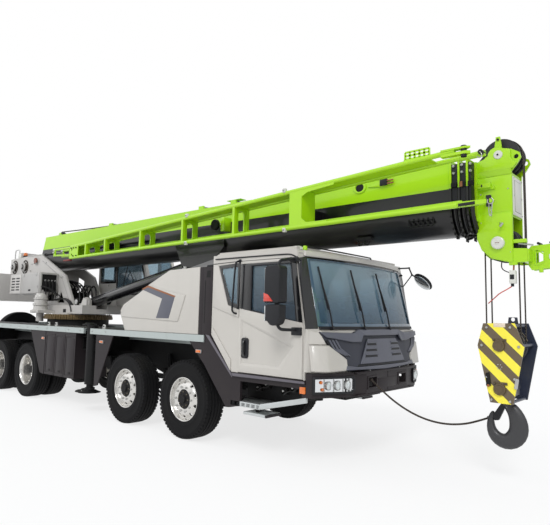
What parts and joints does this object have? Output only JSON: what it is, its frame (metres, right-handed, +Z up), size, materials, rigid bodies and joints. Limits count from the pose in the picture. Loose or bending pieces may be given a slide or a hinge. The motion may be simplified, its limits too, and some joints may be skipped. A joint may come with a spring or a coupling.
{
  "type": "truck-mounted mobile crane",
  "caption": "Truck crane with a telescopic box boom, slewing upper works, full-width driver's cab, stowed lattice jib, outriggers and a hook block.",
  "frame": {"origin": "on the ground, under the middle of the overall length", "axes": "+X to the front of the carrier, +Y to its left, +Z up"},
  "size_m": [13.29, 3.1745, 3.724],
  "materials": {
    "body_paint": "satin warm grey paint",
    "dark_paint": "satin anthracite paint",
    "grille_grey": "satin blue-grey paint",
    "light_paint": "satin light grey paint",
    "boom_green": "gloss lime green paint",
    "frame_black": "satin black paint",
    "deck_aluminium": "brushed",
    "tyre": "matt rubber",
    "gear_steel": "oiled steel",
    "cylinder_black": "gloss black paint",
    "rod_chrome": "polished",
    "rope_steel": "greased wire rope",
    "block_yellow": "gloss yellow paint",
    "hook_steel": "dark forged",
    "glass": "tinted glass",
    "interior": "matt trim",
    "mirror_black": "matt black",
    "rope_fibre": "woven rope",
    "sheave": "dark nylon"
  },
  "bodies": {
    "carrier": {"carrier_frame": "frame_black", "slewing_ring": "gear_steel", "deck": "deck_aluminium", "side_boxes": "dark_paint", "side_panels": "dark_paint", "engine_hood": "body_paint", "engine_block": "frame_black", "spare_wheel": "tyre", "outrigger_boxes": "frame_black", "axles": "frame_black", "driver_cab": "body_paint", "cab_windows": "glass", "cab_interior": "interior", "front_grille": "grille_grey", "front_bumper": "dark_paint", "tie_down_rope": "rope_fibre", "kerb_mirror": "mirror_black"},
    "axle_1_right_wheel": {"axle_1_right_wheel": "tyre"},
    "axle_1_right_knuckle": {"axle_1_right_knuckle": "frame_black"},
    "axle_1_left_wheel": {"axle_1_left_wheel": "tyre"},
    "axle_1_left_knuckle": {"axle_1_left_knuckle": "frame_black"},
    "axle_2_right_wheel": {"axle_2_right_wheel": "tyre"},
    "axle_2_right_knuckle": {"axle_2_right_knuckle": "frame_black"},
    "axle_2_left_wheel": {"axle_2_left_wheel": "tyre"},
    "axle_2_left_knuckle": {"axle_2_left_knuckle": "frame_black"},
    "axle_3_right_wheel": {"axle_3_right_wheel": "tyre"},
    "axle_3_left_wheel": {"axle_3_left_wheel": "tyre"},
    "axle_4_right_wheel": {"axle_4_right_wheel": "tyre"},
    "axle_4_left_wheel": {"axle_4_left_wheel": "tyre"},
    "front_right_outrigger_beam": {"front_right_outrigger_beam": "frame_black"},
    "front_right_jack": {"front_right_jack": "frame_black"},
    "front_left_outrigger_beam": {"front_left_outrigger_beam": "frame_black"},
    "front_left_jack": {"front_left_jack": "frame_black"},
    "rear_right_outrigger_beam": {"rear_right_outrigger_beam": "frame_black"},
    "rear_right_jack": {"rear_right_jack": "frame_black"},
    "rear_left_outrigger_beam": {"rear_left_outrigger_beam": "frame_black"},
    "rear_left_jack": {"rear_left_jack": "frame_black"},
    "right_door": {"right_door": "body_paint", "right_door_window": "glass", "right_mirror": "mirror_black"},
    "left_door": {"left_door": "body_paint", "left_door_window": "glass"},
    "turntable": {"turntable": "light_paint", "counterweight": "light_paint", "operator_cab": "light_paint", "operator_cab_windows": "glass"},
    "main_winch": {"main_winch": "rope_steel"},
    "auxiliary_winch": {"auxiliary_winch": "rope_steel"},
    "operator_door": {"operator_door": "light_paint"},
    "boom_base": {"boom_base": "boom_green", "stowed_jib": "boom_green"},
    "boom_section_2": {"boom_section_2": "boom_green"},
    "boom_section_3": {"boom_section_3": "boom_green"},
    "boom_section_4": {"boom_section_4": "boom_green", "head_sheaves": "sheave"},
    "lift_barrel": {"lift_barrel": "cylinder_black"},
    "lift_rod": {"lift_rod": "rod_chrome"},
    "hook_block": {"hoist_ropes": "rope_steel", "hook_block": "block_yellow"},
    "lifting_hook": {"lifting_hook": "hook_steel"}
  },
  "joints": [
    {"name": "steer_1_right", "type": "hinge", "parent": "carrier", "child": "axle_1_right_knuckle", "pos_m": [1.895, -0.87, 0.54], "axis": [0, 0, 1], "range_deg": [-33, 33]},
    {"name": "spin_1_right", "type": "hinge", "parent": "axle_1_right_knuckle", "child": "axle_1_right_wheel", "pos_m": [1.895, -1.086, 0.54], "axis": [0, 1, 0], "continuous": true},
    {"name": "steer_1_left", "type": "hinge", "parent": "carrier", "child": "axle_1_left_knuckle", "pos_m": [1.895, 0.87, 0.54], "axis": [0, 0, 1], "range_deg": [-33, 33]},
    {"name": "spin_1_left", "type": "hinge", "parent": "axle_1_left_knuckle", "child": "axle_1_left_wheel", "pos_m": [1.895, 1.086, 0.54], "axis": [0, 1, 0], "continuous": true},
    {"name": "steer_2_right", "type": "hinge", "parent": "carrier", "child": "axle_2_right_knuckle", "pos_m": [0.455, -0.87, 0.54], "axis": [0, 0, 1], "range_deg": [-24.75, 24.75]},
    {"name": "spin_2_right", "type": "hinge", "parent": "axle_2_right_knuckle", "child": "axle_2_right_wheel", "pos_m": [0.455, -1.086, 0.54], "axis": [0, 1, 0], "continuous": true},
    {"name": "steer_2_left", "type": "hinge", "parent": "carrier", "child": "axle_2_left_knuckle", "pos_m": [0.455, 0.87, 0.54], "axis": [0, 0, 1], "range_deg": [-24.75, 24.75]},
    {"name": "spin_2_left", "type": "hinge", "parent": "axle_2_left_knuckle", "child": "axle_2_left_wheel", "pos_m": [0.455, 1.086, 0.54], "axis": [0, 1, 0], "continuous": true},
    {"name": "spin_3_right", "type": "hinge", "parent": "carrier", "child": "axle_3_right_wheel", "pos_m": [-3.125, -1.086, 0.54], "axis": [0, 1, 0], "continuous": true},
    {"name": "spin_3_left", "type": "hinge", "parent": "carrier", "child": "axle_3_left_wheel", "pos_m": [-3.125, 1.086, 0.54], "axis": [0, 1, 0], "continuous": true},
    {"name": "spin_4_right", "type": "hinge", "parent": "carrier", "child": "axle_4_right_wheel", "pos_m": [-4.475, -1.086, 0.54], "axis": [0, 1, 0], "continuous": true},
    {"name": "spin_4_left", "type": "hinge", "parent": "carrier", "child": "axle_4_left_wheel", "pos_m": [-4.475, 1.086, 0.54], "axis": [0, 1, 0], "continuous": true},
    {"name": "front_right_beam_slide", "type": "slide", "parent": "carrier", "child": "front_right_outrigger_beam", "axis": [0, -1, 0], "range_m": [0, 1.6]},
    {"name": "front_right_jack_slide", "type": "slide", "parent": "front_right_outrigger_beam", "child": "front_right_jack", "axis": [0, 0, -1], "range_m": [0, 0.335]},
    {"name": "front_left_beam_slide", "type": "slide", "parent": "carrier", "child": "front_left_outrigger_beam", "axis": [0, 1, 0], "range_m": [0, 1.6]},
    {"name": "front_left_jack_slide", "type": "slide", "parent": "front_left_outrigger_beam", "child": "front_left_jack", "axis": [0, 0, -1], "range_m": [0, 0.335]},
    {"name": "rear_right_beam_slide", "type": "slide", "parent": "carrier", "child": "rear_right_outrigger_beam", "axis": [0, -1, 0], "range_m": [0, 1.6]},
    {"name": "rear_right_jack_slide", "type": "slide", "parent": "rear_right_outrigger_beam", "child": "rear_right_jack", "axis": [0, 0, -1], "range_m": [0, 0.335]},
    {"name": "rear_left_beam_slide", "type": "slide", "parent": "carrier", "child": "rear_left_outrigger_beam", "axis": [0, 1, 0], "range_m": [0, 1.6]},
    {"name": "rear_left_jack_slide", "type": "slide", "parent": "rear_left_outrigger_beam", "child": "rear_left_jack", "axis": [0, 0, -1], "range_m": [0, 0.335]},
    {"name": "right_door_hinge", "type": "hinge", "parent": "carrier", "child": "right_door", "pos_m": [4.028, -1.244, 1.3], "axis": [0, 0, 1], "range_deg": [0, 65]},
    {"name": "left_door_hinge", "type": "hinge", "parent": "carrier", "child": "left_door", "pos_m": [4.028, 1.244, 1.3], "axis": [0, 0, -1], "range_deg": [0, 65]},
    {"name": "slew", "type": "hinge", "parent": "carrier", "child": "turntable", "pos_m": [-3.405, 0, 1.66], "axis": [0, 0, 1], "continuous": true},
    {"name": "main_winch_spin", "type": "hinge", "parent": "turntable", "child": "main_winch", "pos_m": [-5.535, 0, 2.81], "axis": [0, 1, 0], "continuous": true},
    {"name": "auxiliary_winch_spin", "type": "hinge", "parent": "turntable", "child": "auxiliary_winch", "pos_m": [-6.135, 0, 2.83], "axis": [0, 1, 0], "continuous": true},
    {"name": "operator_door_slide", "type": "slide", "parent": "turntable", "child": "operator_door", "axis": [-1, 0, 0], "range_m": [0, 0.44]},
    {"name": "luff", "type": "hinge", "parent": "turntable", "child": "boom_base", "pos_m": [-4.895, 0, 2.93], "axis": [0, -1, 0], "range_deg": [0, 78]},
    {"name": "telescope_2", "type": "slide", "parent": "boom_base", "child": "boom_section_2", "axis": [1, 0, 0], "range_m": [0, 7.6]},
    {"name": "telescope_3", "type": "slide", "parent": "boom_section_2", "child": "boom_section_3", "axis": [1, 0, 0], "range_m": [0, 7.6]},
    {"name": "telescope_4", "type": "slide", "parent": "boom_section_3", "child": "boom_section_4", "axis": [1, 0, 0], "range_m": [0, 7.6]},
    {"name": "lift_barrel_tilt", "type": "hinge", "parent": "turntable", "child": "lift_barrel", "pos_m": [-2.805, 0, 1.93], "axis": [0, -1, 0], "range_deg": [0, 84.92]},
    {"name": "lift_rod_slide", "type": "slide", "parent": "lift_barrel", "child": "lift_rod", "axis": [0.9818, 0, 0.1898], "range_m": [0, 2.8763]},
    {"name": "hook_swing", "type": "hinge", "parent": "boom_section_4", "child": "hook_block", "pos_m": [5.833, 0, 2.54], "axis": [0, -1, 0], "range_deg": [-78, 0]},
    {"name": "hook_swivel", "type": "hinge", "parent": "hook_block", "child": "lifting_hook", "pos_m": [5.833, 0, 0.7], "axis": [0, 0, 1], "continuous": true}
  ],
  "couplings": [
    {"joint": "steer_1_right", "follows": "steer_1_left", "ratio": 1},
    {"joint": "steer_2_left", "follows": "steer_1_left", "ratio": 0.75},
    {"joint": "steer_2_right", "follows": "steer_1_left", "ratio": 0.75},
    {"joint": "telescope_3", "follows": "telescope_2", "ratio": 1},
    {"joint": "telescope_4", "follows": "telescope_2", "ratio": 1},
    {"joint": "lift_barrel_tilt", "follows": "luff", "ratio": 1.0861},
    {"joint": "lift_rod_slide", "follows": "luff", "m_per_rad": 2.1054},
    {"joint": "hook_swing", "follows": "luff", "ratio": -1}
  ]
}
